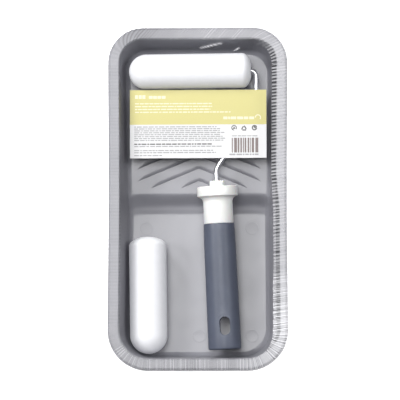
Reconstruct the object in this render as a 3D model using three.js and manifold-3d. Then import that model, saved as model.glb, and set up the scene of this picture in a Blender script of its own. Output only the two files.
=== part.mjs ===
// A mini paint roller set: a tray with a grooved ramp and a paint well, a wire-framed roller lying in it,
// a spare sleeve, a printed card and the band of shrink film that is left on the tray's rim.
// Millimetres, +Z up. The origin is on the ground under the middle of the tray, and +Y is the shallow end.
import * as THREE from "three";
import { mergeVertices } from "three/addons/utils/BufferGeometryUtils.js";
import Module from "manifold-3d";

const wasm = await Module();
wasm.setup();

// ---- Driving dimensions ----------------------------------------------------------------------------------

const GAP = 0.3; // between pieces that touch
const ROUND_SIDES = 32;

const tray = {
  halfWidth: 65.9, // to the rim's inner edge
  halfLength: 134.4,
  rimZ: 48,
  rimWidth: 9.4,
  wall: 1.8,
  cornerDeep: 24.7, // inner corner radii at the rim
  cornerShallow: 20.1,
  cornerShrink: 0.4, // how fast the corners tighten as the walls come in
  bow: 0.8, // how far each long side is drawn in at its middle
  lipDrop: 9,
  wellDepth: 45,
};

const ramp = {
  lowY: 8.2, // where the ramp breaks down into the well
  lowDepth: 37.8,
  highY: 121,
  highDepth: 31,
  stepFootY: -9.1,
};

// The step's shape, as shares of its run and its rise: a steep face with a shallow foot.
const stepShape = [
  [0, 0],
  [0.1, 0.04],
  [0.16, 0.12],
  [0.52, 0.74],
  [0.62, 0.82],
  [0.95, 0.98],
  [1, 1],
];

const chevron = { pitch: 10.4, firstY: 18.5, count: 11, slope: 0.408, width: 4, depth: 1, reach: 52, tip: 6 };
const chevronZone = { fromY: 12.3, toY: 118 };

const foot = { radius: 6, height: 1.2 };
const footPlaces = [
  [-44.5, -112],
  [0, -112],
  [44.5, -112],
  [-44.5, -21],
  [44.5, -21],
];
const leg = { x: 47, y: 122, arm: 18, thickness: 2 };

const film = { thickness: 0.35, inward: 0.5, drop: 8 };

const sleeve = { radius: 14.75, foam: 6.4, endDome: 7.9, length: 103.2 };
const spareSleeve = { radius: 15.7, length: 98.5 }; // its foam is not pressed in by the packing
const mouth = 5; // the foam is rolled in over the end of its tube, round a hole of this radius
const core = { wall: 1.5, recess: 3, bushLength: 9, capLength: 8, flange: 1.2, tipClearance: 1.5 };
const clip = { radius: 4, thickness: 0.8 };

const wire = { radius: 2, sides: 12, steps: 110, tightBend: 4.2, wideBend: 13, inHandle: 56 };
// Corners of the wire after it leaves the sleeve, from the middle of the axle.
const wireCorners = [
  [48.6, 0],
  [48.6, -31.8],
  [13.9, -82.8],
];

const handle = { skew: 2.1, topX: 14.6, topY: -92.4, coreHole: 58, stemEnd: 126, gripTop: 36, length: 141.6 };
const boss = { radius: 6.2, length: 4.8, notches: 4, notchWidth: 2.6, notchDepth: 1.6 };
const slot = { along: 121.9, offset: 1.2, length: 15.4, width: 8.8, lining: 1.3, liningReach: 9.6 };

const tool = { y: 108.7, depth: 14.15, pitch: 3.3, yaw: 0.54 };
const spare = { x: -43.1, openEndY: -29.6, skew: 0.8 };
const card = { width: 114.6, length: 57.3, thickness: 0.4, x: 0, topY: 92.6 };

const material = (color, roughness, metalness = 0) =>
  new THREE.MeshStandardMaterial({ color, roughness, metalness });

const materials = {
  tray: material(0xa9a9b3, 0.45),
  film: material(0xe8ebf0, 0.15),
  foam: material(0xf4f5f8, 0.95),
  whitePlastic: material(0xf2f2f0, 0.4),
  core: material(0xd9dadd, 0.5),
  grip: material(0x5b6374, 0.65),
  steel: material(0xc9ccd0, 0.3, 1),
  card: material(0xf3ecc0, 0.7),
};

// ---- Solids ----------------------------------------------------------------------------------------------

// A three.js geometry as a solid for joining and cutting.
function solidOf(geometry, matrix = new THREE.Matrix4()) {
  const bare = new THREE.BufferGeometry();
  const source = geometry.index ? geometry.toNonIndexed() : geometry;
  bare.setAttribute("position", source.getAttribute("position").clone());
  bare.applyMatrix4(matrix);
  const merged = mergeVertices(bare, 1e-4);
  return new wasm.Manifold(
    new wasm.Mesh({
      numProp: 3,
      vertProperties: new Float32Array(merged.attributes.position.array),
      triVerts: new Uint32Array(merged.index.array),
    }),
  );
}

function geometryOf(solid) {
  const mesh = solid.getMesh();
  const position = new Float32Array(mesh.numVert * 3);
  for (let i = 0; i < mesh.numVert; i++) {
    const at = i * mesh.numProp;
    position.set(mesh.vertProperties.subarray(at, at + 3), i * 3);
  }
  const geometry = new THREE.BufferGeometry();
  geometry.setAttribute("position", new THREE.BufferAttribute(position, 3));
  geometry.setIndex(new THREE.BufferAttribute(mesh.triVerts, 1));
  geometry.computeVertexNormals();
  return geometry;
}

const moved = (x, y, z) => new THREE.Matrix4().makeTranslation(x, y, z);

function box(x0, x1, y0, y1, z0, z1) {
  const geometry = new THREE.BoxGeometry(x1 - x0, y1 - y0, z1 - z0);
  return solidOf(geometry, moved((x0 + x1) / 2, (y0 + y1) / 2, (z0 + z1) / 2));
}

function disc(radius, x, y, z0, z1) {
  const upright = new THREE.Matrix4().makeRotationX(Math.PI / 2);
  const geometry = new THREE.CylinderGeometry(radius, radius, z1 - z0, ROUND_SIDES);
  return solidOf(geometry, moved(x, y, (z0 + z1) / 2).multiply(upright));
}

// A body of revolution about +Y from [radius, along] pairs that start and end on the axis, or close.
function turned(profile, sides = ROUND_SIDES) {
  const points = profile.map(([r, y]) => new THREE.Vector2(r, y));
  if (THREE.ShapeUtils.area(points) < 0) points.reverse();
  return new THREE.LatheGeometry(points, sides);
}

// Points on a quarter ellipse about [centreR, centreY], from angle a to angle b in degrees.
function arc(centreR, centreY, rx, ry, a, b, steps) {
  return Array.from({ length: steps + 1 }, (_, i) => {
    const angle = THREE.MathUtils.degToRad(a + ((b - a) * i) / steps);
    return [centreR + rx * Math.cos(angle), centreY + ry * Math.sin(angle)];
  });
}

function named(name, geometry, surface) {
  const mesh = new THREE.Mesh(geometry, surface);
  mesh.name = name;
  return mesh;
}

// ---- Tray ------------------------------------------------------------------------------------------------

const CORNER_STEPS = 7;
const SIDE_STEPS = 6;

// How far a point of the long side is drawn in, for its place along the tray.
function bowAt(y) {
  const reach = tray.halfLength + tray.rimWidth;
  return tray.bow * Math.cos((Math.PI * y) / (2 * reach)) ** 2;
}

// The tray's rounded outline at one level: insets from the rim's inner edge at the sides and the two ends.
function outline({ side, deep = side, shallow = side }, z) {
  const x = tray.halfWidth - side;
  const low = -tray.halfLength + deep;
  const high = tray.halfLength - shallow;
  const shrink = side > 0 ? tray.cornerShrink : 1;
  const rHigh = tray.cornerShallow - shrink * side;
  const rLow = tray.cornerDeep - shrink * side;
  const corners = [
    { cx: x - rHigh, cy: high - rHigh, r: rHigh, from: 0 },
    { cx: -x + rHigh, cy: high - rHigh, r: rHigh, from: 90 },
    { cx: -x + rLow, cy: low + rLow, r: rLow, from: 180 },
    { cx: x - rLow, cy: low + rLow, r: rLow, from: 270 },
  ];
  const points = [];
  corners.forEach(({ cx, cy, r, from }, i) => {
    points.push(...arc(cx, cy, r, r, from, from + 90, CORNER_STEPS));
    const next = corners[(i + 1) % 4];
    if (i % 2 === 1) {
      const start = points[points.length - 1];
      const endY = next.cy;
      for (let k = 1; k < SIDE_STEPS; k++) {
        points.push([start[0], start[1] + ((endY - start[1]) * k) / SIDE_STEPS]);
      }
    }
  });
  return points.map(([px, py]) => new THREE.Vector3(px - Math.sign(px) * bowAt(py), py, z));
}

// A closed body through stacked outlines of equal point counts, capped at both ends.
function loft(levels) {
  const n = levels[0].length;
  const middle = (level) => new THREE.Vector3(0, 0, level[0].z);
  const rings = levels.flat();
  const bottom = rings.length;
  const top = bottom + 1;
  const vertices = [...rings, middle(levels[0]), middle(levels[levels.length - 1])];
  const index = [];
  for (let i = 0; i < n; i++) {
    const j = (i + 1) % n;
    const last = (levels.length - 1) * n;
    index.push(bottom, j, i, top, last + i, last + j);
    for (let k = 0; k + 1 < levels.length; k++) {
      const a = k * n;
      const b = a + n;
      index.push(a + i, a + j, b + j, a + i, b + j, b + i);
    }
  }
  return indexed(vertices, index);
}

// A closed band that runs round the tray, with one outline for each corner of its section.
function band(section) {
  const levels = section.map(([inset, z]) => outline({ side: inset }, z));
  const n = levels[0].length;
  const index = [];
  levels.forEach((_, k) => {
    const a = k * n;
    const b = ((k + 1) % levels.length) * n;
    for (let i = 0; i < n; i++) {
      const j = (i + 1) % n;
      index.push(a + i, a + j, b + j, a + i, b + j, b + i);
    }
  });
  return indexed(levels.flat(), index);
}

function indexed(vertices, index) {
  const geometry = new THREE.BufferGeometry().setFromPoints(vertices);
  geometry.setIndex(index);
  return geometry;
}

const atDepth = (depth) => tray.rimZ - depth;

// The wall's section, [depth, side inset, deep-end inset, shallow-end inset]: drafted, then curving into the
// floor.
const wallSection = [
  [45, 10.4, 8.9, 18],
  [44, 7.9, 6.7, 13.5],
  [41.2, 6.1, 5.2, 9.6],
  [37, 5.2, 4.4, 7.9],
  [0, 0, 0, 0],
];

function cavityLevels() {
  const levels = wallSection.map(([depth, side, deep, shallow]) =>
    outline({ side, deep, shallow }, atDepth(depth)),
  );
  return [...levels, outline({ side: 0 }, tray.rimZ + 5)];
}

function outerLevels() {
  const t = tray.wall;
  const under = wallSection.map(([depth, side, deep, shallow], i) => {
    const lean = i < 2 ? 0.4 : 1; // the underside's curve is tighter than the floor's
    const out = t * lean;
    const drop = i < 2 ? t : 0.3;
    return outline({ side: side - out, deep: deep - out, shallow: shallow - out }, atDepth(depth + drop));
  });
  under[under.length - 1] = outline({ side: -t }, tray.rimZ - 0.5);
  return under;
}

// The line of the floor in Y and depth, from the well up the step and along the ramp to the end wall.
function floorLine() {
  const { lowY, lowDepth, highY, highDepth } = ramp;
  const step = stepShape.map(([run, rise]) => [
    lowY - run * (lowY - ramp.stepFootY),
    lowDepth + rise * (tray.wellDepth - lowDepth),
  ]);
  step.reverse();
  const sweep = arc(highY, highDepth - 8, 8, 8, 90, 12, 4).map(([y, depth]) => [y, depth]);
  return [...step, ...sweep];
}

// Everything below the floor line, lowered by drop, as a solid to cut with.
function underFloor(drop) {
  const line = floorLine().map(([y, depth]) => [y + drop * 0.3, depth + drop]);
  const shape = new THREE.Shape();
  shape.moveTo(line[0][0], -20);
  line.forEach(([y, depth]) => shape.lineTo(y, atDepth(depth)));
  const end = line[line.length - 1];
  shape.lineTo(tray.halfLength + 20, atDepth(end[1]));
  shape.lineTo(tray.halfLength + 20, -20);
  const width = 2 * (tray.halfWidth + 20);
  const geometry = new THREE.ExtrudeGeometry(shape, { depth: width, bevelEnabled: false });
  // The shape's x is the tray's Y and its y is Z, so it is turned to be extruded along X.
  const turn = new THREE.Matrix4().makeBasis(
    new THREE.Vector3(0, 1, 0),
    new THREE.Vector3(0, 0, 1),
    new THREE.Vector3(1, 0, 0),
  );
  return solidOf(geometry, moved(-width / 2, 0, 0).multiply(turn));
}

// The flat rim with its turned-down lip.
function rimBand() {
  const { rimZ, rimWidth, wall, lipDrop } = tray;
  return band([
    [0, rimZ],
    [0, rimZ - wall],
    [-rimWidth + wall + 0.6, rimZ - wall],
    [-rimWidth + wall, rimZ - wall - 1],
    [-rimWidth + wall, rimZ - lipDrop],
    [-rimWidth, rimZ - lipDrop],
    [-rimWidth, rimZ - 2],
    [-rimWidth + 0.6, rimZ - 0.6],
    [-rimWidth + 2, rimZ],
  ]);
}

const rampTilt = () => Math.atan2(ramp.lowDepth - ramp.highDepth, ramp.highY - ramp.lowY);

// A chevron's groove, in the ramp's own frame with its surface at z 0: square on its lower side, sloping up
// the ramp, and running out to a point at both ends.
function chevronGroove(apex) {
  const { slope, width, depth, reach, tip } = chevron;
  const end = Math.min(reach, (apex - chevronZone.fromY) / slope);
  const section = (x) => {
    const y = apex - slope * x;
    return [
      [x, y, 1],
      [x, y, -depth],
      [x, y + width, 0],
      [x, y + width, 1],
    ];
  };
  const point = [end, apex - slope * end, 0];
  const shoulder = section(Math.max(end - tip, end * 0.4));
  const arm = wasm.Manifold.hull([...section(0), ...shoulder]).add(wasm.Manifold.hull([...shoulder, point]));
  return arm.add(arm.mirror([1, 0, 0]));
}

// The grooves of all the chevrons that are moulded into the ramp.
function chevronGrooves() {
  const { pitch, firstY, count } = chevron;
  let joined = chevronGroove(firstY);
  for (let i = 1; i < count; i++) joined = joined.add(chevronGroove(firstY + i * pitch));
  const kept = joined.intersect(box(-60, 60, chevronZone.fromY, chevronZone.toY, -2, 2));
  const place = moved(0, ramp.lowY, atDepth(ramp.lowDepth))
    .multiply(new THREE.Matrix4().makeRotationX(rampTilt()))
    .multiply(moved(0, -ramp.lowY, 0));
  return kept.transform(place.toArray());
}

function feet() {
  return footPlaces.map(([x, y]) => disc(foot.radius, x, y, 0, foot.height + tray.wall / 2));
}

// Two L-shaped legs that carry the shallow end.
function legs() {
  const { x, y, arm, thickness } = leg;
  const across = box(x - arm, x, y - thickness, y, 0, atDepth(ramp.highDepth) - tray.wall / 2);
  const along = box(x - thickness, x, y - arm, y, 0, atDepth(ramp.highDepth + 1.2) - tray.wall / 2);
  const right = across.add(along);
  return [right, right.mirror([1, 0, 0])];
}

function traySolid() {
  const cavity = solidOf(loft(cavityLevels())).subtract(underFloor(0));
  let solid = solidOf(loft(outerLevels())).add(solidOf(rimBand()));
  solid = solid.subtract(underFloor(tray.wall)).subtract(cavity);
  solid = solid.subtract(chevronGrooves());
  for (const piece of [...feet(), ...legs()]) solid = solid.add(piece);
  return solid;
}

function filmBand() {
  const z = tray.rimZ + GAP;
  const out = -tray.rimWidth - GAP;
  const t = film.thickness;
  return band([
    [film.inward, z + t],
    [film.inward, z],
    [out + 2, z],
    [out + 0.6, z - 0.6],
    [out, z - 2],
    [out, z - film.drop],
    [out - t, z - film.drop],
    [out - t, z - 1.8],
    [out - t + 0.7, z - 0.4 + t],
    [out + 1.8, z + t],
  ]);
}

// ---- Sleeves ---------------------------------------------------------------------------------------------

// Along a sleeve's own +Y: 0 at the open end, length at the tip of the closed, rounded end.
function foamCover(radius, length) {
  const { foam, endDome } = sleeve;
  const bore = sleeve.radius - foam;
  const mouthAngle = -THREE.MathUtils.radToDeg(Math.acos(mouth / radius));
  const endCentre = length - radius;
  const openEnd = arc(0, endDome, radius, endDome, mouthAngle, 0, 6);
  return turned([
    [0, length],
    [0, length - foam],
    [bore, length - foam],
    [bore, core.recess - GAP],
    [mouth, core.recess - GAP],
    ...openEnd,
    ...arc(0, endCentre, radius, radius, 0, 75, 6),
    [0, length],
  ]);
}

const tubeOuter = () => sleeve.radius - sleeve.foam - GAP;
const tubeInner = () => tubeOuter() - core.wall;
const tubeEnd = (length) => length - sleeve.foam - GAP;

function coreTube(length) {
  const outer = tubeOuter();
  const inner = tubeInner();
  return turned([
    [inner, core.recess],
    [outer, core.recess],
    [outer, tubeEnd(length)],
    [inner, tubeEnd(length)],
    [inner, core.recess],
  ]);
}

function inboardBush() {
  const outer = tubeInner() - GAP;
  const bore = wire.radius + GAP;
  const from = core.recess + GAP;
  return turned([
    [bore, from],
    [outer, from],
    [outer, from + core.bushLength],
    [outer - 1.2, from + core.bushLength],
    [outer - 1.2, from + core.flange],
    [bore + 1.2, from + core.flange],
    [bore + 1.2, from + core.bushLength],
    [bore, from + core.bushLength],
    [bore, from],
  ]);
}

function outboardCap(length) {
  const outer = tubeInner() - GAP;
  const bore = wire.radius + GAP;
  const end = tubeEnd(length) - GAP;
  const from = end - core.capLength;
  return turned([
    [0, end],
    [0, end - 1.5],
    [bore, end - 1.5],
    [bore, from],
    [bore + 1.2, from],
    [bore + 1.2, end - 3],
    [outer - 1.2, end - 3],
    [outer - 1.2, from],
    [outer, from],
    [outer, end],
    [0, end],
  ]);
}

function sleeveGroup(prefix, radius, length) {
  const group = new THREE.Group();
  group.add(named(`${prefix}_foam_cover`, foamCover(radius, length), materials.foam));
  group.add(named(`${prefix}_core_tube`, coreTube(length), materials.core));
  group.add(named(`${prefix}_inboard_bush`, inboardBush(), materials.core));
  group.add(named(`${prefix}_outboard_cap`, outboardCap(length), materials.core));
  return group;
}

// ---- Roller frame and handle -----------------------------------------------------------------------------

const radians = THREE.MathUtils.degToRad;

// The open end of the mounted sleeve, along the axle.
const OPEN_END_X = 45;
const axleTip = () => OPEN_END_X - (tubeEnd(sleeve.length) - GAP - core.tipClearance - 1.5);

// Straight runs joined by curves that start and end one bend's tangent length from each corner.
function bentPath(start, corners, end, bends) {
  const path = new THREE.CurvePath();
  let from = start;
  corners.forEach((corner, i) => {
    const next = i + 1 < corners.length ? corners[i + 1] : end;
    const before = from.clone().sub(corner).normalize();
    const after = next.clone().sub(corner).normalize();
    const half = before.angleTo(after) / 2;
    const tangent = bends[i] / Math.tan(half);
    const a = corner.clone().addScaledVector(before, tangent);
    const b = corner.clone().addScaledVector(after, tangent);
    const pull = (4 / 3) * Math.tan((Math.PI - 2 * half) / 4) * bends[i];
    const a2 = a.clone().addScaledVector(before, -pull);
    const b2 = b.clone().addScaledVector(after, -pull);
    path.add(new THREE.LineCurve3(from, a));
    path.add(new THREE.CubicBezierCurve3(a, a2, b2, b));
    from = b;
  });
  path.add(new THREE.LineCurve3(from, end));
  return path;
}

function wireGeometry() {
  const section = new THREE.Shape();
  for (let i = 0; i < wire.sides; i++) {
    const a = (2 * Math.PI * i) / wire.sides;
    const x = wire.radius * Math.cos(a);
    const y = wire.radius * Math.sin(a);
    if (i) section.lineTo(x, y);
    else section.moveTo(x, y);
  }
  const corners = wireCorners.map(([x, y]) => new THREE.Vector3(x, y, 0));
  const inHandle = handlePoint(wire.inHandle);
  const bends = [wire.tightBend, wire.wideBend, wire.wideBend];
  const extrudePath = bentPath(new THREE.Vector3(axleTip(), 0, 0), corners, inHandle, bends);
  return new THREE.ExtrudeGeometry(section, { steps: wire.steps, extrudePath, bevelEnabled: false });
}

// A point on the handle's axis, in the tool's frame, at a distance from the top of its boss.
function handlePoint(along) {
  const a = radians(handle.skew);
  return new THREE.Vector3(handle.topX + along * Math.sin(a), handle.topY - along * Math.cos(a), 0);
}

// The moulded core: a boss, a finger flange, a neck, and a stem inside the grip. Its +Y points down the
// handle.
function handleCore() {
  const { gripTop, stemEnd } = handle;
  const body = solidOf(turned([
    [0, 0],
    [boss.radius, 0],
    [boss.radius, boss.length],
    [16, boss.length],
    [16.9, 5.8],
    [16.9, 12.4],
    [16, 13.6],
    ...arc(16.2, 18.4, 4, 4.6, -105, -180, 5),
    [12.3, gripTop - GAP],
    [11.7, gripTop - GAP],
    [11.7, gripTop + 2 - GAP],
    [8.2, gripTop + 2 - GAP],
    [8.2, stemEnd],
    [0, stemEnd],
  ]));
  const hole = new THREE.CylinderGeometry(wire.radius + GAP, wire.radius + GAP, handle.coreHole + 5, 20);
  const bore = solidOf(hole, moved(0, (handle.coreHole - 5) / 2, 0));
  const lining = slotPrism(slot.lining, slot.liningReach);
  return geometryOf(body.add(lining).subtract(bore).subtract(bossNotches()).subtract(slotPrism(0, 30)));
}

// Notches cut across the end of the boss.
function bossNotches() {
  const { radius, notches, notchWidth, notchDepth } = boss;
  let cut = null;
  for (let i = 0; i < notches; i++) {
    const bar = box(wire.radius + 1.6, radius + 1, -1, notchDepth, -notchWidth / 2, notchWidth / 2);
    const turn = new THREE.Matrix4().makeRotationY((Math.PI / 2) * i + Math.PI / 4);
    const turnedBar = bar.transform(turn.toArray());
    cut = cut ? cut.add(turnedBar) : turnedBar;
  }
  return cut;
}

// The grip: a tapered shell moulded over the core's stem and the slot's lining.
function gripSleeve() {
  const { gripTop, stemEnd, length } = handle;
  const body = solidOf(turned([
    [12, gripTop + 2],
    [12, gripTop],
    [12.3, gripTop],
    [12.8, gripTop + 0.8],
    [13.2, gripTop + 14],
    [13.8, length - 12],
    [13.8, length - 1.6],
    [13.2, length - 0.4],
    [12.4, length],
    [0, length],
    [0, stemEnd + 1],
    [8.5, stemEnd + 1],
    [8.5, gripTop + 2],
    [12, gripTop + 2],
  ]));
  const room = slotPrism(slot.lining + GAP, slot.liningReach + GAP);
  return geometryOf(body.subtract(room).subtract(slotPrism(0, 30)));
}

// The slot's own shape, grown by margin, and reaching that far each way from the handle's axis.
function slotPrism(margin, reach) {
  const half = slot.width / 2 + margin;
  const straight = (slot.length - slot.width) / 2;
  const shape = new THREE.Shape();
  shape.absarc(0, straight, half, 0, Math.PI, false);
  shape.absarc(0, -straight, half, Math.PI, 2 * Math.PI, false);
  const extrusion = { depth: 2 * reach, bevelEnabled: false, curveSegments: 10 };
  const geometry = new THREE.ExtrudeGeometry(shape, extrusion);
  return solidOf(geometry, moved(slot.offset, slot.along, -reach));
}

function retainingClip() {
  const bore = wire.radius + GAP;
  const from = core.recess + 2 * GAP + core.bushLength;
  return turned([
    [bore, from],
    [clip.radius, from],
    [clip.radius, from + clip.thickness],
    [bore, from + clip.thickness],
    [bore, from],
  ], 24);
}

// ---- Assembly --------------------------------------------------------------------------------------------

function toolGroup() {
  const group = new THREE.Group();
  group.position.set(0, tool.y, atDepth(tool.depth));
  group.rotation.set(radians(tool.pitch), 0, radians(tool.yaw));

  group.add(named("wire_frame", wireGeometry(), materials.steel));

  // A sleeve's own +Y runs from its open end to its closed end, which is towards -X here.
  const axle = new THREE.Group();
  axle.position.x = OPEN_END_X;
  axle.rotation.z = Math.PI / 2;
  axle.add(sleeveGroup("roller", sleeve.radius, sleeve.length));
  axle.add(named("retaining_clip", retainingClip(), materials.steel));
  group.add(axle);

  const grip = new THREE.Group();
  grip.position.set(handle.topX, handle.topY, 0);
  grip.rotation.set(Math.PI, 0, radians(handle.skew));
  grip.rotation.order = "ZYX";
  grip.add(named("handle_core", handleCore(), materials.whitePlastic));
  grip.add(named("grip_sleeve", gripSleeve(), materials.grip));
  group.add(grip);
  return group;
}

function spareGroup() {
  const group = sleeveGroup("spare", spareSleeve.radius, spareSleeve.length);
  const axisZ = atDepth(tray.wellDepth) + GAP + spareSleeve.radius;
  group.position.set(spare.x, spare.openEndY, axisZ);
  group.rotation.z = Math.PI + radians(spare.skew);
  return group;
}

// The card lies on the wire, in the roller's own slope.
function cardMesh() {
  const sheet = new THREE.BoxGeometry(card.width, card.length, card.thickness);
  const mesh = named("label_card", sheet, materials.card);
  const pitch = radians(tool.pitch);
  const middleY = card.topY - (card.length / 2) * Math.cos(pitch);
  const lift = wire.radius + GAP + card.thickness / 2;
  const z = atDepth(tool.depth) + (middleY - tool.y) * Math.tan(pitch) + lift / Math.cos(pitch);
  mesh.position.set(card.x, middleY, z);
  mesh.rotation.x = pitch;
  return mesh;
}

const set = new THREE.Group();
set.add(named("tray", geometryOf(traySolid()), materials.tray));
set.add(named("shrink_film", filmBand(), materials.film));
set.add(toolGroup());
set.add(spareGroup());
set.add(cardMesh());

export default set;
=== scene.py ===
"""The looks of the mini paint roller set: tray, shrink film, roller, spare sleeve and printed card.

Shapes are worked out in millimetres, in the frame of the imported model, and become metres in the mesh.
"""

import math
import random

import bmesh
import bpy
import numpy as np
from mathutils import Matrix, Vector


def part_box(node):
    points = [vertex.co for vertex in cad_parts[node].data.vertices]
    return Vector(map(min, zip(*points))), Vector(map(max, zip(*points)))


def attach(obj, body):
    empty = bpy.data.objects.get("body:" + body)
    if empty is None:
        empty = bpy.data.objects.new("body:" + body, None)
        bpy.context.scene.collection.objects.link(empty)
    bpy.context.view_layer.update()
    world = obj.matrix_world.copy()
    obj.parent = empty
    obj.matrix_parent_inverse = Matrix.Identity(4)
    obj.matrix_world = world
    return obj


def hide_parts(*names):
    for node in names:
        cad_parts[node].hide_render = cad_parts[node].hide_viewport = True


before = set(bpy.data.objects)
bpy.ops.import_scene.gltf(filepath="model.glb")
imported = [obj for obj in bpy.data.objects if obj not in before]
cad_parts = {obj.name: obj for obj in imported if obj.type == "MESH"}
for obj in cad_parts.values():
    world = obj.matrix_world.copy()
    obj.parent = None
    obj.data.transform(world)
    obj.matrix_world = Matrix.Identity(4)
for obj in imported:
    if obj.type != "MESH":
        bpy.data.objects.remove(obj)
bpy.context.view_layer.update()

MM = 0.001

# ---- Dimensions, in millimetres --------------------------------------------------------------------------

tray_low, tray_high = (np.array(corner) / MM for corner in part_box("tray"))
RIM_WIDTH = 9.4  # the flat rim outside the opening
RIM_Z = tray_high[2]
HALF_WIDTH = tray_high[0] - RIM_WIDTH
HALF_LENGTH = tray_high[1] - RIM_WIDTH
WALL = 1.8
CORNER_SHALLOW, CORNER_DEEP = 20.1, 24.7  # inner corner radii at the rim
CORNER_SHRINK = 0.4
SIDE_BOW = 0.8
LIP_DROP = 9.0
DRAFT_SIDE, DRAFT_DEEP, DRAFT_SHALLOW = 0.14, 0.12, 0.2135
FLOOR_FILLET = 6.5
FLOOR_MEETS = 68  # degrees from upright where the fillet stops, in a fine crease

WELL_DEPTH = 45.0
STEP_FOOT_Y = -9.1
RAMP_LOW_Y, RAMP_LOW_DEPTH = 8.2, 37.8
RAMP_HIGH_Y, RAMP_HIGH_DEPTH = 121.0, 31.0
GROOVE_FIRST_Y, GROOVE_PITCH, GROOVE_COUNT = 18.5, 10.4, 11  # the chevrons moulded into the ramp
GROOVE_SLOPE, GROOVE_REACH, GROOVES_FROM, GROOVES_TO = 0.408, 52.0, 12.3, 118.0
GROOVE_WIDTH = 3.6


# ---- Meshes ----------------------------------------------------------------------------------------------


def mesh_object(name, points, faces, smooth_angle=35):
    """A new object from points in millimetres, smooth but for edges sharper than smooth_angle degrees."""
    mesh = bpy.data.meshes.new(name)
    mesh.from_pydata([tuple(p) for p in np.asarray(points, float) * MM], [], faces)
    return finished_object(name, mesh, smooth_angle)


def finished_object(name, mesh, smooth_angle=35):
    """A new object from a mesh, with its doubles merged and its faces turned out."""
    work = bmesh.new()
    work.from_mesh(mesh)
    bmesh.ops.remove_doubles(work, verts=work.verts, dist=1e-3 * MM)
    bmesh.ops.dissolve_degenerate(work, edges=work.edges, dist=1e-4 * MM)
    bmesh.ops.recalc_face_normals(work, faces=work.faces)
    work.to_mesh(mesh)
    work.free()
    mesh.shade_smooth()
    mesh.set_sharp_from_angle(angle=math.radians(smooth_angle))
    piece = bpy.data.objects.new(name, mesh)
    bpy.context.scene.collection.objects.link(piece)
    return piece


def modified(piece, kind, **settings):
    """Applies one modifier to a piece's mesh."""
    modifier = piece.modifiers.new(kind, kind)
    for key, value in settings.items():
        setattr(modifier, key, value)
    graph = bpy.context.evaluated_depsgraph_get()
    result = bpy.data.meshes.new_from_object(piece.evaluated_get(graph))
    piece.modifiers.clear()
    piece.data = result
    return piece


def grid_faces(rows, columns, closed_columns=False):
    """Quads between the points of a rows x columns grid, whose columns may close into a ring."""
    faces = []
    for r in range(rows - 1):
        for c in range(columns if closed_columns else columns - 1):
            a = r * columns + c
            b = r * columns + (c + 1) % columns
            faces.append((a, b, b + columns, a + columns))
    return faces


def arc(centre_x, centre_y, radius, start, end, steps, radius_y=None):
    """Points on a circle or ellipse, with angles in degrees."""
    angles = np.radians(np.linspace(start, end, steps + 1))
    ry = radius if radius_y is None else radius_y
    return [(centre_x + radius * math.cos(a), centre_y + ry * math.sin(a)) for a in angles]


class Axis:
    """The line that a turned CAD node runs along, found from its two flat ends, in millimetres."""

    def __init__(self, node, towards):
        points = np.array([v.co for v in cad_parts[node].data.vertices]) / MM
        self.along = np.array(towards, float)
        for reach in (3, 1.5, 0.8, 0.4, 0.2):
            self.side = np.cross([0.0, 0.0, 1.0], self.along)
            self.side /= np.linalg.norm(self.side)
            self.up = np.cross(self.along, self.side)
            places = points @ np.stack([self.along, self.side, self.up], 1)
            low, high = places[:, 0].min(), places[:, 0].max()
            ends = [places[abs(places[:, 0] - level) < reach] for level in (low, high)]
            middles = [(end.min(0) + end.max(0)) / 2 for end in ends]
            start, stop = (self.along * m[0] + self.side * m[1] + self.up * m[2] for m in middles)
            self.along = (stop - start) / np.linalg.norm(stop - start)
        self.start = start
        self.length = np.linalg.norm(stop - start)

    def point(self, along, side=0.0, up=0.0):
        """A point measured from the axis's start."""
        return self.start + self.along * along + self.side * side + self.up * up


def lathe(name, profile, axis, sides=96):
    """A body of revolution about an axis, from (radius, along) points."""
    angles = 2 * math.pi * np.arange(sides) / sides
    points = [
        axis.point(y, r * math.cos(a), r * math.sin(a)) for r, y in profile for a in angles
    ]
    return mesh_object(name, points, grid_faces(len(profile), sides, closed_columns=True))


# ---- Materials -------------------------------------------------------------------------------------------


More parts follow.
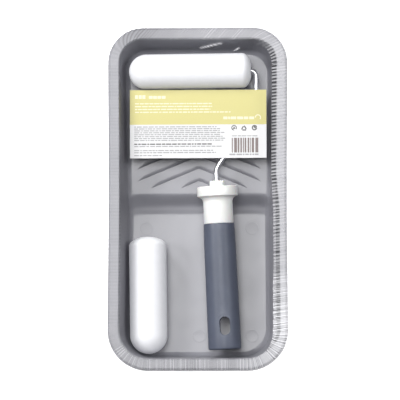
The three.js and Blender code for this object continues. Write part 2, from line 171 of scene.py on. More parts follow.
class Material:
    """A procedural material built round one Principled shader."""

    def __init__(self, name, color, roughness, **sockets):
        self.material = bpy.data.materials.new(name)
        self.material.use_nodes = True
        self.tree = self.material.node_tree
        self.shader = self.tree.nodes["Principled BSDF"]
        self.shader.inputs["Base Color"].default_value = (*color, 1)
        self.shader.inputs["Roughness"].default_value = roughness
        for key, value in sockets.items():
            self.shader.inputs[key.replace("_", " ")].default_value = value
        self.color = color
        self.place = self.node("ShaderNodeTexCoord").outputs["Object"]

    def node(self, kind, inputs=None, **settings):
        """A new shader node; an input is another node's output or a plain value."""
        made = self.tree.nodes.new(kind)
        for key, value in settings.items():
            setattr(made, key, value)
        for key, value in (inputs or {}).items():
            if isinstance(value, bpy.types.NodeSocket):
                self.tree.links.new(value, made.inputs[key])
            else:
                made.inputs[key].default_value = value
        return made

    def link(self, source, socket):
        self.tree.links.new(source, self.shader.inputs[socket])

    def noise(self, size_mm, detail=3.0):
        """Noise with features of about that size."""
        inputs = {"Vector": self.place, "Scale": 1 / (size_mm * MM), "Detail": detail}
        return self.node("ShaderNodeTexNoise", inputs).outputs["Fac"]

    def cells(self, size_mm):
        """The distance to the middle of the nearest cell, for pores of about that size."""
        inputs = {"Vector": self.place, "Scale": 1 / (size_mm * MM)}
        return self.node("ShaderNodeTexVoronoi", inputs, feature="F1").outputs["Distance"]

    def spread(self, value, low, high, from_low=0.3, from_high=0.7):
        """A 0 to 1 texture brought to the range low to high."""
        inputs = {
            "Value": value,
            "From Min": from_low,
            "From Max": from_high,
            "To Min": low,
            "To Max": high,
        }
        return self.node("ShaderNodeMapRange", inputs).outputs["Result"]

    def mix(self, factor, a, b):
        """A colour that goes from a to b as a texture goes from 0 to 1."""
        colors = {"A": (*a, 1), "B": (*b, 1)}
        made = self.node("ShaderNodeMix", data_type="RGBA")
        for socket in made.inputs:
            if socket.name == "Factor" and socket.type == "VALUE":
                self.tree.links.new(factor, socket)
            elif socket.type == "RGBA":
                socket.default_value = colors[socket.name]
        return next(s for s in made.outputs if s.type == "RGBA")

    def mottle(self, value, amount):
        """The base colour, varied a little lighter and darker by a texture."""
        dark = [c * (1 - amount) for c in self.color]
        light = [min(1.0, c * (1 + amount)) for c in self.color]
        self.link(self.mix(self.spread(value, 0, 1), dark, light), "Base Color")

    def bump(self, *layers):
        """Adds bump layers of (height texture, depth in mm)."""
        normal = None
        for height, depth in layers:
            inputs = {"Height": height, "Strength": 1.0, "Distance": depth * MM}
            if normal:
                inputs["Normal"] = normal
            normal = self.node("ShaderNodeBump", inputs).outputs["Normal"]
        self.link(normal, "Normal")


def tray_plastic():
    m = Material("tray_plastic", (0.235, 0.235, 0.262), 0.34, IOR=1.49, Specular_IOR_Level=0.8)
    flow = m.noise(45, 2)
    grain = m.noise(0.55, 3)
    m.mottle(flow, 0.025)
    m.link(m.spread(m.noise(12, 2), 0.33, 0.37), "Roughness")
    m.bump((grain, 0.012), (m.noise(14, 2), 0.02))
    return m.material


def foam():
    m = Material("foam", (0.8, 0.805, 0.83), 0.95, Sheen_Weight=0.2)
    # The foam glows faintly: painted light that stands in for light scattered inside the foam and brightens
    # its shaded sides.
    m.shader.inputs["Emission Color"].default_value = (0.9, 0.92, 1.0, 1)
    m.shader.inputs["Emission Strength"].default_value = 0.08
    pores = m.cells(0.75)
    m.mottle(m.noise(5, 4), 0.015)
    m.bump((pores, 0.1), (m.noise(0.35, 2), 0.05), (m.noise(12, 2), 0.1))
    return m.material


def white_plastic():
    m = Material("white_plastic", (0.9, 0.9, 0.885), 0.34, Subsurface_Weight=0.1, Subsurface_Scale=0.002)
    m.mottle(m.noise(7, 3), 0.02)
    m.link(m.spread(m.noise(3, 3), 0.28, 0.42), "Roughness")
    m.bump((m.noise(0.6, 3), 0.02), (m.noise(8, 2), 0.04))
    return m.material


def core_plastic():
    m = Material("core_plastic", (0.66, 0.67, 0.69), 0.45)
    m.mottle(m.noise(5, 3), 0.03)
    m.bump((m.noise(0.7, 3), 0.03))
    return m.material


def grip_rubber():
    m = Material("grip", (0.084, 0.097, 0.136), 0.5, Specular_IOR_Level=0.55)
    m.mottle(m.noise(14, 4), 0.06)
    m.link(m.spread(m.noise(2.5, 4), 0.4, 0.48), "Roughness")
    m.bump((m.cells(0.5), 0.03), (m.noise(0.25, 2), 0.02))
    return m.material


def zinc_wire():
    m = Material("steel_wire", (0.82, 0.83, 0.85), 0.24, Metallic=1.0)
    m.mottle(m.noise(1.6, 4), 0.07)
    m.link(m.spread(m.noise(2.5, 3), 0.26, 0.4), "Roughness")
    m.bump((m.noise(2.5, 2), 0.004))
    return m.material


def card_stock(name, color, roughness=0.38):
    m = Material(name, color, roughness)
    m.mottle(m.noise(0.5, 4), 0.02)
    m.link(m.spread(m.noise(4, 3), roughness - 0.02, roughness + 0.03), "Roughness")
    m.bump((m.noise(0.3, 3), 0.006), (m.noise(25, 2), 0.15))
    return m.material


PLEAT_PITCH = 2.8  # millimetres between the even pleats of the film, along the rim


def shrink_film():
    """Clear film: painted highlights where its pleats catch the light, painted shade in the gaps between
    them inside the rim.
    """
    m = Material("film", (0.9, 0.91, 0.94), 0.25, Specular_IOR_Level=0.1)

    def measure(name):
        return m.node("ShaderNodeAttribute", attribute_name=name).outputs["Fac"]

    def combined(operation, a, b):
        return m.node("ShaderNodeMath", {0: a, 1: b}, operation=operation).outputs["Value"]

    def along_noise(scale, detail):
        place = m.node("ShaderNodeCombineXYZ", {"X": combined("MULTIPLY", along, scale)}).outputs["Vector"]
        return m.node("ShaderNodeTexNoise", {"Vector": place, "Scale": 1.0, "Detail": detail}).outputs["Fac"]

    along = measure("out")
    wander = combined("MULTIPLY", along_noise(0.09, 2), 9)
    turns = combined("ADD", combined("MULTIPLY", along, 2 * math.pi / PLEAT_PITCH), wander)
    regular = m.spread(combined("SINE", turns, 0.0), 0, 1, -0.5, 0.5)
    irregular = m.spread(along_noise(1.1, 3), 0, 1, 0.4, 0.6)
    swell = along_noise(0.12, 2)
    kinds = {"Factor": measure("uneven"), "A": regular, "B": irregular}
    pleat = m.node("ShaderNodeMix", kinds).outputs["Result"]
    # The pleats' painted highlight and the painted shade in their gaps, both varied a little along the rim.
    pleat_sheen = combined("MULTIPLY", measure("pleat_sheen"), m.spread(swell, 0.7, 1.1, 0.35, 0.65))
    gaps = combined("MULTIPLY", measure("gaps"), m.spread(swell, 1.25, 0.6, 0.35, 0.65))
    gap = combined("SUBTRACT", 1.0, pleat)
    ridges = combined("SUBTRACT", 1.0, combined("MULTIPLY", gap, measure("contrast")))
    # white is painted highlight, from the pleats and the single glints; dark is painted shade, in the gaps
    # and under a fold.
    white = combined("ADD", combined("MULTIPLY", ridges, pleat_sheen), measure("glint"))
    dark = combined("ADD", combined("MULTIPLY", gap, gaps), measure("fold_shadow"))
    total = combined("ADD", white, dark)
    share = combined("DIVIDE", white, combined("ADD", total, 0.001))
    # The film's colour runs from painted shade to painted highlight, and the film stays clear where neither
    # is painted.
    m.link(m.mix(share, (0.015, 0.015, 0.02), (0.86, 0.86, 0.89)), "Base Color")
    m.link(combined("MINIMUM", combined("ADD", total, 0.015), 0.97), "Alpha")
    m.bump((pleat, 0.1))
    return m.material


def studio_floor():
    m = Material("studio_floor", (0.93, 0.93, 0.93), 0.8)
    m.mottle(m.noise(60, 3), 0.004)
    m.shader.inputs["Emission Color"].default_value = (1, 1, 1, 1)
    m.shader.inputs["Emission Strength"].default_value = 0.95
    return m.material


MATERIALS = {
    "tray_plastic": tray_plastic(),
    "foam": foam(),
    "white_plastic": white_plastic(),
    "core_plastic": core_plastic(),
    "grip": grip_rubber(),
    "steel_wire": zinc_wire(),
    "card": card_stock("card", (0.7, 0.7, 0.71)),
    "film": shrink_film(),
}
INKS = {
    "yellow": card_stock("ink_yellow", (0.57, 0.52, 0.185)),
    "white": card_stock("ink_white", (0.74, 0.71, 0.5)),
    "grey": card_stock("ink_grey", (0.33, 0.33, 0.34)),
    "black": card_stock("ink_black", (0.08, 0.08, 0.08)),
    "brown": card_stock("ink_brown", (0.17, 0.13, 0.125)),
}


def place(piece, body, slot, *nodes, material=None):
    """Gives a new piece its material and body, and hides the CAD nodes that it stands for."""
    piece.data.materials.clear()
    piece.data.materials.append(material or MATERIALS[slot])
    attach(piece, body)
    if nodes:
        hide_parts(*nodes)
    return piece


# ---- Camera and light ------------------------------------------------------------------------------------

CAMERA_DISTANCE = 3.0
VIEW_WIDTH = 1000 / 3  # millimetres across the picture, at the rim
CAMERA_LEAN = (0.0375, -0.105)  # how far the view comes from the +X and -Y sides, as slopes
CAMERA_AIM = (2.1, -1.6)  # on the plane of the rim
LIGHT_DISTANCE = 3.0
LIGHT_AIM = (0, 0, 0.03)
FLOOR_REACH = 4000


def look_at(item, target):
    """Points a camera or light at a place, with +Y up in its view."""
    away = (item.location - Vector(target)).normalized()
    right = Vector((0, 1, 0)).cross(away).normalized()
    columns = (right, away.cross(right), away)
    item.rotation_euler = Matrix([[c[i] for c in columns] for i in range(3)]).to_euler()


def make_camera():
    """A distant camera that looks down on the tray, leaning a little towards its deep end."""
    data = bpy.data.cameras.new("camera")
    camera = bpy.data.objects.new("camera", data)
    bpy.context.scene.collection.objects.link(camera)
    target = Vector((CAMERA_AIM[0] * MM, CAMERA_AIM[1] * MM, RIM_Z * MM))
    direction = Vector((CAMERA_LEAN[0], CAMERA_LEAN[1], 1)).normalized()
    camera.location = target + direction * CAMERA_DISTANCE
    look_at(camera, target)
    data.sensor_width = 36
    data.lens = data.sensor_width * CAMERA_DISTANCE / (VIEW_WIDTH * MM)
    data.clip_end = 20
    bpy.context.scene.camera = camera


def area_light(name, direction, size, power):
    """A round soft light of a diameter in metres, aimed at the tray."""
    data = bpy.data.lights.new(name, "AREA")
    data.shape = "DISK"
    data.size = size
    data.energy = power
    light = bpy.data.objects.new(name, data)
    bpy.context.scene.collection.objects.link(light)
    light.location = Vector(LIGHT_AIM) + Vector(direction).normalized() * LIGHT_DISTANCE
    look_at(light, LIGHT_AIM)


def make_studio():
    """Soft lights from above and three sides, a dim sky and a plain pale floor."""
    world = bpy.data.worlds.new("studio")
    world.use_nodes = True
    background = world.node_tree.nodes["Background"]
    background.inputs["Color"].default_value = (0.95, 0.97, 1.0, 1)
    background.inputs["Strength"].default_value = 0.05
    bpy.context.scene.world = world
    area_light("overhead", (-0.04, 0.16, 1), 1.8, 57)
    area_light("key", (-0.7, 1.0, 1), 1.0, 42)
    area_light("left", (-1.0, 0.2, 1), 1.0, 36)
    area_light("right", (1.0, 0.2, 1), 1.0, 20)

    far = FLOOR_REACH
    corners = [(-far, -far, 0), (far, -far, 0), (far, far, 0), (-far, far, 0)]
    floor = mesh_object("studio_floor", corners, [(0, 1, 2, 3)])
    floor.data.materials.append(studio_floor())

    bpy.context.scene.view_settings.view_transform = "Standard"


make_camera()
make_studio()

# ---- Tray ------------------------------------------------------------------------------------------------


class Outline:
    """The tray's rounded outline, sampled at the same places whatever its inset."""

    CORNERS = ((1, 1), (-1, 1), (-1, -1), (1, -1))

    def __init__(self, corner_steps, side_places, end_steps):
        """side_places are the wanted Y places of the samples along a long side."""
        rows = []
        for i in range(4):
            for k in range(corner_steps + 1):
                rows.append((i, 90 * i + 90 * k / corner_steps, i, 0, 0))
            following = (i + 1) % 4
            start, end = 90 * (i + 1), 90 * following
            if i % 2:
                fractions = self.side_fractions(side_places, i)
            else:
                fractions = [k / end_steps for k in range(1, end_steps)]
            for f in fractions:
                rows.append((i, start, following, end, f))
        table = np.array(rows, float)
        signs = np.array(self.CORNERS, float)
        self.a = signs[table[:, 0].astype(int)]
        self.b = signs[table[:, 2].astype(int)]
        self.angle_a = np.radians(table[:, 1])
        self.angle_b = np.radians(table[:, 3])
        self.f = table[:, 4]
        self.count = len(rows)

    @staticmethod
    def side_fractions(places, corner):
        low = -HALF_LENGTH + CORNER_DEEP
        high = HALF_LENGTH - CORNER_SHALLOW
        start, end = (high, low) if corner == 1 else (low, high)
        fractions = [(y - start) / (end - start) for y in places]
        return sorted(f for f in fractions if 0.002 < f < 0.998)

    def corner(self, signs, angle, side, deep, shallow):
        upper = signs[:, 1] > 0
        radius = np.where(upper, CORNER_SHALLOW, CORNER_DEEP)
        radius = radius - np.where(side > 0, CORNER_SHRINK, 1.0) * side
        x = signs[:, 0] * (HALF_WIDTH - side - radius)
        y = signs[:, 1] * (HALF_LENGTH - np.where(upper, shallow, deep) - radius)
        return np.stack([x + radius * np.cos(angle), y + radius * np.sin(angle)], 1)

    def at(self, side, deep=None, shallow=None):
        """The outline's points for these insets, which may differ from sample to sample."""
        side = np.broadcast_to(np.asarray(side, float), self.count)
        deep = side if deep is None else deep
        shallow = side if shallow is None else shallow
        pa = self.corner(self.a, self.angle_a, side, deep, shallow)
        pb = self.corner(self.b, self.angle_b, side, deep, shallow)
        points = pa + (pb - pa) * self.f[:, None]
        reach = HALF_LENGTH + RIM_WIDTH
        bow = SIDE_BOW * np.cos(np.pi * points[:, 1] / (2 * reach)) ** 2
        points[:, 0] -= np.sign(points[:, 0]) * bow
        return points

    def drafts(self):
        """How much each sample's wall leans in per millimetre of depth."""
        here = self.at(0.0)
        step = self.at(1.0) - here
        facing_end = (step[:, 1] / np.linalg.norm(step, axis=1)) ** 2
        end = np.where(here[:, 1] > 0, DRAFT_SHALLOW, DRAFT_DEEP)
        return DRAFT_SIDE + (end - DRAFT_SIDE) * facing_end


# The step's shape, as shares of its run and its rise: a steep face with a shallow foot.
STEP_RUN = (0, 0.04, 0.1, 0.16, 0.24, 0.34, 0.44, 0.5, 0.55, 0.6, 0.66, 0.8, 0.94, 1)
STEP_RISE = (0, 0.01, 0.05, 0.12, 0.25, 0.42, 0.6, 0.7, 0.765, 0.81, 0.845, 0.905, 0.975, 1)


def floor_depth(y):
    """How deep the tray's floor is at each Y: the well, the step, then the ramp."""
    y = np.asarray(y, float)
    run = (RAMP_LOW_Y - y) / (RAMP_LOW_Y - STEP_FOOT_Y)
    step = RAMP_LOW_DEPTH + (WELL_DEPTH - RAMP_LOW_DEPTH) * np.interp(run, STEP_RUN, STEP_RISE)
    rise = (RAMP_HIGH_DEPTH - RAMP_LOW_DEPTH) / (RAMP_HIGH_Y - RAMP_LOW_Y)
    ramp = RAMP_LOW_DEPTH + rise * (y - RAMP_LOW_Y)
    return np.where(y < RAMP_LOW_Y, step, ramp)


def wall_rings(outline, out, fillet):
    """Rings of points from the rim down a drafted wall and round into the floor, moved outwards by out."""
    drafts = outline.drafts()
    depth = floor_depth(outline.at(8.0)[:, 1]) + out
    end = math.radians(FLOOR_MEETS)
    centre = depth - fillet * math.sin(end)
    first = 1.6 + out

    def on_wall(draft, share):
        """The inset and the depth at a share of the way down the straight wall."""
        foot = centre + fillet * np.sin(np.arctan(draft))
        level = first + (foot - first) * share
        return draft * level, level

    def on_fillet(draft, share):
        """The inset and the depth at a share of the way round the fillet."""
        lean = np.arctan(draft)
        foot = centre + fillet * np.sin(lean)
        turn = lean + (end - lean) * share
        return draft * foot + fillet * (np.cos(lean) - np.cos(turn)), centre + fillet * np.sin(turn)

    def ring(spot, share):
        insets = [spot(draft, share)[0] - out for draft in (DRAFT_SIDE, DRAFT_DEEP, DRAFT_SHALLOW)]
        return np.column_stack([outline.at(*insets), RIM_Z - spot(drafts, share)[1]])

    rings = [ring(on_wall, share) for share in np.linspace(0, 1, 7)]
    return rings + [ring(on_fillet, share) for share in np.linspace(0, 1, 9)[1:]]


def floor_rings(foot, drop):
    """Rings from the foot of the wall in to the middle line of the floor."""
    middle = np.column_stack([np.zeros(len(foot)), np.clip(foot[:, 1], -66, 74)])
    rings = []
    for share in np.linspace(0, 1, 13)[1:]:
        plan = foot[:, :2] + (middle - foot[:, :2]) * share
        rings.append(np.column_stack([plan, RIM_Z - floor_depth(plan[:, 1]) - drop]))
    return rings


def rim_rings(outline):
    """Rings over the rim: from the opening's soft edge, across the flat, down the lip and back under it."""
    edge = 1.0
    round_out = 2.4
    section = arc(-edge, edge, edge, 0, -90, 5)
    section += arc(-RIM_WIDTH + round_out, round_out, round_out, -90, -180, 7)
    section += arc(-RIM_WIDTH + 0.4, LIP_DROP - 0.4, 0.4, 180, 90, 2)
    section += arc(-RIM_WIDTH + WALL - 0.4, LIP_DROP - 0.4, 0.4, 90, 0, 2)
    section += [(-RIM_WIDTH + WALL, WALL + 1.4), (-RIM_WIDTH + WALL + 1.2, WALL), (-WALL - 1, WALL)]
    return [np.column_stack([outline.at(i), np.full(outline.count, RIM_Z - d)]) for i, d in section]


def groove_cutter(apex, start, end):
    """A chevron's groove from start to end: square below, curving up the ramp, running out at its ends."""
    section = [(0, 0.8), (0, -0.95), (0.5, -0.72), (1.2, -0.4), (2.2, -0.13)]
    section += [(GROOVE_WIDTH, 0.02), (GROOVE_WIDTH, 0.8)]
    points = []
    stations = np.linspace(start, end, 61)
    for x in stations:
        fade = 0.03 + 0.97 * min(1.0, max(0.0, min(x - start, end - x)) / 7) ** 0.7
        for up_ramp, height in section:
            y = apex - GROOVE_SLOPE * math.hypot(x, 0.8) + up_ramp * fade
            points.append((x, y, height * fade if height < 0 else height))
    n = len(section)
    faces = grid_faces(len(stations), n, closed_columns=True)
    faces += [tuple(range(n)), tuple(range(len(points) - n, len(points)))]
    points = np.array(points)
    points[:, 2] += RIM_Z - floor_depth(points[:, 1])
    return points, faces


def groove_cutters():
    """All the grooves; one whose tip would pass the ramp's top keeps only its two arms."""
    cutters = []
    for k in range(GROOVE_COUNT):
        apex = GROOVE_FIRST_Y + k * GROOVE_PITCH
        far = min(GROOVE_REACH, (apex - GROOVES_FROM) / GROOVE_SLOPE)
        near = (apex + GROOVE_WIDTH - GROOVES_TO) / GROOVE_SLOPE
        spans = [(-far, far)] if near <= 0 else [(-far, -near), (near, far)]
        cutters += [groove_cutter(apex, start, end) for start, end in spans]
    return cutters


def make_tray():
    """The tray's shell: floor and walls inside, the rim, and the same outside, with the grooves cut in."""
    sides = [*range(-108, -14, 6), *np.arange(-13, 13, 0.8), *range(14, 115, 6)]
    outline = Outline(14, sides, 24)
    inner = wall_rings(outline, 0, FLOOR_FILLET)
    outer = wall_rings(outline, WALL, FLOOR_FILLET + 0.8)
    inside = inner + floor_rings(inner[-1], 0)
    outside = outer + floor_rings(outer[-1], WALL)
    rings = inside[::-1] + rim_rings(outline) + outside
    points = np.concatenate(rings)
    faces = grid_faces(len(rings), outline.count, closed_columns=True)
    shell = mesh_object("tray_shell", points, faces, 18)
    cut_away(shell, joined("groove_cutters", groove_cutters()))
    shell.data.shade_smooth()
    shell.data.set_sharp_from_angle(angle=math.radians(18))
    modified(shell, "WEIGHTED_NORMAL", keep_sharp=True)
    return place(shell, "tray", "tray_plastic", "tray")


def upright_disc(profile, x, y):
    """Points and faces of a low turned shape about a vertical line, from (radius, z) pairs."""
    sides = 40
    angles = 2 * math.pi * np.arange(sides) / sides
    points = [(x + r * math.cos(a), y + r * math.sin(a), z) for r, z in profile for a in angles]
    return points, grid_faces(len(profile), sides, closed_columns=True)


def joined(name, shapes):
    """One object from several shapes, each a list of points and a list of faces."""
    points, faces = [], []
    for shape_points, shape_faces in shapes:
        faces += [tuple(i + len(points) for i in face) for face in shape_faces]
        points += list(shape_points)
    return mesh_object(name, points, faces)


FEET = [(-44.5, -112), (0, -112), (44.5, -112), (-44.5, -21), (44.5, -21)]


def make_feet():
    """Round feet under the well, and the shallow marks that they leave in its floor."""
    top = RIM_Z - WELL_DEPTH
    foot = [(0, 0), (5.4, 0), (6, 0.5), (6, 1.6)]
    mark = [(0, top + 0.01), (4.6, top + 0.01), (5.0, top + 0.05), (5.4, top + 0.05), (6.0, top - 0.1)]
    shapes = [upright_disc(foot, x, y) for x, y in FEET]
    shapes += [upright_disc(mark, x, y) for x, y in FEET]
    return place(joined("tray_feet", shapes), "tray", "tray_plastic")


def block(low, high):
    """Points and faces of a box between two corners."""
    (x0, y0, z0), (x1, y1, z1) = low, high
    points = [(x, y, z) for x in (x0, x1) for y in (y0, y1) for z in (z0, z1)]
    faces = [(0, 1, 3, 2), (4, 6, 7, 5), (0, 4, 5, 1), (2, 3, 7, 6), (0, 2, 6, 4), (1, 5, 7, 3)]
    return points, faces


def make_legs():
    """The two L-shaped legs under the shallow end."""
    x, y, arm, thick = 47, 122, 18, 2
    shapes = []
    for side in (-1, 1):
        across = sorted((side * (x - arm), side * x))
        along = sorted((side * (x - thick), side * x))
        top = RIM_Z - floor_depth(y) - 1.2
        shapes.append(block((across[0], y - thick, 0), (across[1], y, top)))
        shapes.append(block((along[0], y - arm, 0), (along[1], y - thick + 0.01, top - 0.9)))
    legs = joined("tray_legs", shapes)
    modified(legs, "BEVEL", width=0.35 * MM, segments=2)
    return place(legs, "tray", "tray_plastic")


# ---- Shrink film -----------------------------------------------------------------------------------------


def pleats(places, rng, count, low, high):
    """A sum of waves round the rim: fine gathers with wavelengths from low to high, in millimetres."""
    total = np.zeros(len(places))
    length = places[-1]
    for _ in range(count):
        turns = round(length / rng.uniform(low, high))
        total += rng.uniform(0.4, 1) * np.sin(2 * np.pi * turns * places / length + rng.uniform(0, 6.3))
    return total / count


def bell(value, middle, width):
    """1 at the middle, falling off smoothly on both sides."""
    return np.exp(-(((value - middle) / width) ** 2))


def ramped(value, start, end):
    """0 up to start, 1 from end on, and straight between them."""
    return np.clip((value - start) / (end - start), 0, 1)


# The painted highlight on the pleats, how much that changes from pleat to pleat, the painted shade in their
# gaps, single painted glints and a painted shadow under a fold, how uneven the pleats are, and how far along
# the rim each place is.
FILM_MEASURES = ("pleat_sheen", "contrast", "gaps", "glint", "fold_shadow", "uneven", "out")


def stroke(x, y, start, end, width=0.6):
    """1 on the line from start to end, fading out at its sides and at its ends."""
    run = np.subtract(end, start)
    share = np.clip(((x - start[0]) * run[0] + (y - start[1]) * run[1]) / (run @ run), 0, 1)
    away = np.hypot(x - start[0] - share * run[0], y - start[1] - share * run[1])
    return np.exp(-((away / width) ** 2)) * np.sqrt(np.sin(np.pi * (0.04 + 0.92 * share)))


FILM_ROWS = 25
FILM_OVER_RIM = 0.68  # the share of the rows that lie over the rim, before the film turns down its outside
FILM_TURN = 2.2  # the radius of that turn
FILM_HANG = 4.6  # how far the film hangs below the turn
# Painted highlights along two folds of the film inside the top of the rim, and a painted shadow under the
# first fold, as (x, y) ends.
GLINTS = (((2, 126.2), (20.5, 130.4)), ((30, 122.9), (35, 126.2)))
FOLD_SHADOW = ((4, 125.2), (15, 127.8))


class Film:
    """The clear film that has shrunk on to the rim, sampled at places all round the rim's inner edge."""

    def __init__(self):
        rng = random.Random(7)
        self.outline = Outline(84, np.arange(-110, 115, 0.5), 190)
        self.edge = self.outline.at(0.0)
        runs = np.diff(self.edge, axis=0, append=self.edge[:1])
        steps = np.linalg.norm(runs, axis=1)
        self.run = runs / steps[:, None]
        self.places = np.concatenate([[0], np.cumsum(steps)[:-1]])
        self.fine = pleats(self.places, rng, 9, 1.8, 2.6)
        self.broad = pleats(self.places, rng, 6, 14, 40)
        self.ragged = pleats(self.places, rng, 7, 3, 9)
        self.find_sides()
        self.find_shape()
        self.find_looks()

    def find_sides(self):
        """Shares, from 0 to 1, of how much each place belongs to a side of the rim."""
        x, y = self.edge[:, 0], self.edge[:, 1]
        self.top = ramped(y, 122, 134)
        self.bottom = ramped(-y, 100, 125)
        self.right = ramped(x, 40, 62) * (1 - self.top) * (1 - ramped(-y, 112, 130))
        left = ramped(-x, 40, 62) * (1 - self.top) * (1 - self.bottom)
        self.left = left
        self.low_left = left * ramped(-y, -20, 20)
        self.high_right = self.right * ramped(y, -10, 20)
        self.low_right = self.right * (1 - ramped(y, -75, -55))
        self.lower_half = self.right * (1 - self.high_right)
        self.corner = ramped(x, 30, 60) * ramped(-y, 60, 100)
        self.flap = self.top * bell(x, 22, 30)
        self.top_left = self.top * ramped(-x, 0, 50)
        self.top_right = self.top * ramped(x, -60, 10)

    def find_shape(self):
        """How far the film reaches in from the rim, and how deep its pleats are."""
        ragged_sides = self.low_right + self.bottom + self.high_right
        reach = 0.2 + 1.7 * self.right + 1.7 * self.high_right + 0.8 * self.low_right + 0.7 * self.low_left
        reach = reach + 0.4 * self.bottom + 13 * self.flap
        self.reach = reach + (0.2 * self.broad + 0.5 * self.ragged) * ragged_sides
        self.gather = 0.12 + 0.1 * self.right + 0.14 * self.bottom + 0.08 * self.top

    def find_looks(self):
        """The painted highlight on the pleats and how even they are, how much they slant, and the painted
        shade in the gaps between them.
        """
        # Painted highlight on the pleats: stronger on the right, at the bottom and in the lower right
        # corner.
        pleat_sheen = 0.04 + 0.38 * self.right + 0.3 * self.low_right + 0.34 * self.bottom
        self.pleat_sheen = pleat_sheen + 0.3 * self.top_right + 0.4 * self.corner
        contrast = 0.35 + 0.5 * self.bottom + 0.25 * self.low_right + 0.3 * self.top
        self.contrast = np.clip(contrast, 0, 1)
        # Painted shade in the gaps between the pleats, inside the rim and on it; on the rim it is darkest at
        # the top left.
        gaps = 0.5 * self.high_right + 1.0 * self.right + 0.4 * self.low_right
        self.gaps = gaps + 0.6 * self.low_left + 0.15 * self.bottom
        rim_gaps = 0.22 * self.bottom * (1 - self.corner) + 0.12 * self.top + 0.25 * self.top_left
        self.rim_gaps = rim_gaps + 0.08 * self.left
        uneven = self.bottom + 0.8 * self.low_right + 0.4 * self.lower_half + 0.3 * self.top + 0.12
        self.uneven = np.clip(uneven, 0, 1)
        self.slant = 0.14 * self.right - 0.9 * self.top
        # On the lower right the painted shade of the gaps lies on the rim, and the film inside it carries
        # painted highlight.
        self.outward = 0.9 * self.high_right + 3.8 * self.lower_half

    def section(self, share):
        """How far in from the rim's inner edge and how deep the film lies, going from inside to outside."""
        if share < FILM_OVER_RIM:
            s = share / FILM_OVER_RIM
            inset = self.reach - (self.reach + RIM_WIDTH - FILM_TURN) * s
            lift = 0.45 + (0.9 * self.fine + 0.5 * self.broad) * self.gather * (1.15 - 0.4 * s)
            return inset, -np.maximum(lift, 0.12)
        s = (share - FILM_OVER_RIM) / (1 - FILM_OVER_RIM)
        turning = 0.45
        turn = min(1.0, s / turning) * math.pi / 2
        out = 0.35 + 0.5 * self.gather * np.maximum(self.fine, -0.5)
        inset = -RIM_WIDTH + FILM_TURN - (FILM_TURN + out) * math.sin(turn)
        drop = max(0.0, s - turning) / (1 - turning)
        turned = 2.4 * (1 - math.cos(turn)) - 0.45 * (1 - s)
        return inset, turned + (FILM_HANG + 0.8 * self.broad) * drop

    def looks(self, inset, ring):
        """The values of FILM_MEASURES along one ring of points."""
        x, y = ring[:, 0], ring[:, 1]
        inside = ramped(inset + self.outward, 0.2, 0.8)
        beyond = ramped(inset, -0.4, 0.2) * self.lower_half
        drift = ((ring[:, :2] - self.edge) * self.run).sum(1) * self.right
        fading = 1 - ramped(inset, 0.3, 1.2) * np.maximum(self.top, self.flap)
        # Painted highlight on the pleats, painted shade in their gaps, painted glints along two folds and a
        # painted shadow under the first.
        return {
            "pleat_sheen": self.pleat_sheen * (1 - 0.1 * inside) * fading + 0.2 * beyond,
            "contrast": self.contrast + (1 - self.contrast) * inside,
            "gaps": self.gaps * inside * (1 - 0.9 * beyond) + self.rim_gaps * (1 - inside),
            "glint": 0.6 * sum(stroke(x, y, start, end) for start, end in GLINTS),
            "fold_shadow": 0.7 * stroke(x, y, *FOLD_SHADOW),
            "uneven": self.uneven,
            "out": self.places + drift + self.slant * inset,
        }


def make_film():
    """The clear film on the rim, gathered in fine pleats."""
    film = Film()
    count = film.outline.count
    rings, looks = [], []
    for share in np.linspace(0, 1, FILM_ROWS):
        inset, level = film.section(share)
        ring = np.column_stack([film.outline.at(inset), np.broadcast_to(RIM_Z - level, count)])
        rings.append(ring)
        looks.append(film.looks(inset, ring))
    mesh = bpy.data.meshes.new("shrink_film")
    faces = grid_faces(FILM_ROWS, count, closed_columns=True)
    mesh.from_pydata([tuple(p) for p in np.concatenate(rings) * MM], [], faces)
    for name in FILM_MEASURES:
        values = np.concatenate([row[name] for row in looks])
        mesh.attributes.new(name, "FLOAT", "POINT").data.foreach_set("value", values)
    mesh.shade_smooth()
    piece = bpy.data.objects.new("shrink_film_gathered", mesh)
    bpy.context.scene.collection.objects.link(piece)
    place(piece, "tray", "film", "shrink_film")


# ---- Roller ----------------------------------------------------------------------------------------------

CORE_RADIUS = 8.35
FOAM_THICKNESS = 6.4
MOUNTED_RADIUS, SPARE_RADIUS = 14.75, 15.7  # over the foam, which the packing presses on the mounted sleeve
CORE_RECESS = 3.0
OPEN_DOME = 7.9  # how far the open end's rounding runs along the sleeve
MOUTH = 5.0  # the foam is rolled in over the end of its tube, round a hole of this radius


def foam_profile(radius, length):
    """The cover's section: rolled in at the open end, rounded at the closed end, with its bore."""
    bore = CORE_RADIUS
    open_end = arc(0, OPEN_DOME, radius, -math.degrees(math.acos(MOUTH / radius)), 0, 24, OPEN_DOME)
    tip = arc(0, length - radius, radius, 4, 90, 26)
    lip = CORE_RECESS - 0.3
    bottom = length - FOAM_THICKNESS
    inside = [(0, bottom), (bore - 0.6, bottom), (bore, bottom - 0.6), (bore, lip)]
    return open_end + tip + inside + [(MOUTH + 0.3, lip), (MOUTH, lip - 0.4), open_end[0]]


def soften(piece, rng, depth):
    """Moves a piece's surface in and out by up to depth, in long soft waves."""
    mesh = piece.data
    points = np.empty(len(mesh.vertices) * 3)
    mesh.vertices.foreach_get("co", points)
    points = points.reshape(-1, 3) / MM
    normals = np.empty(len(mesh.vertices) * 3)
    mesh.vertex_normals.foreach_get("vector", normals)
    phases = [rng.uniform(0, 6.3) for _ in range(3)]
    waves = np.sin(points / 9 + phases).mean(axis=1, keepdims=True)
    moved = points + normals.reshape(-1, 3) * waves * depth
    mesh.vertices.foreach_set("co", (moved * MM).ravel())
    mesh.update()


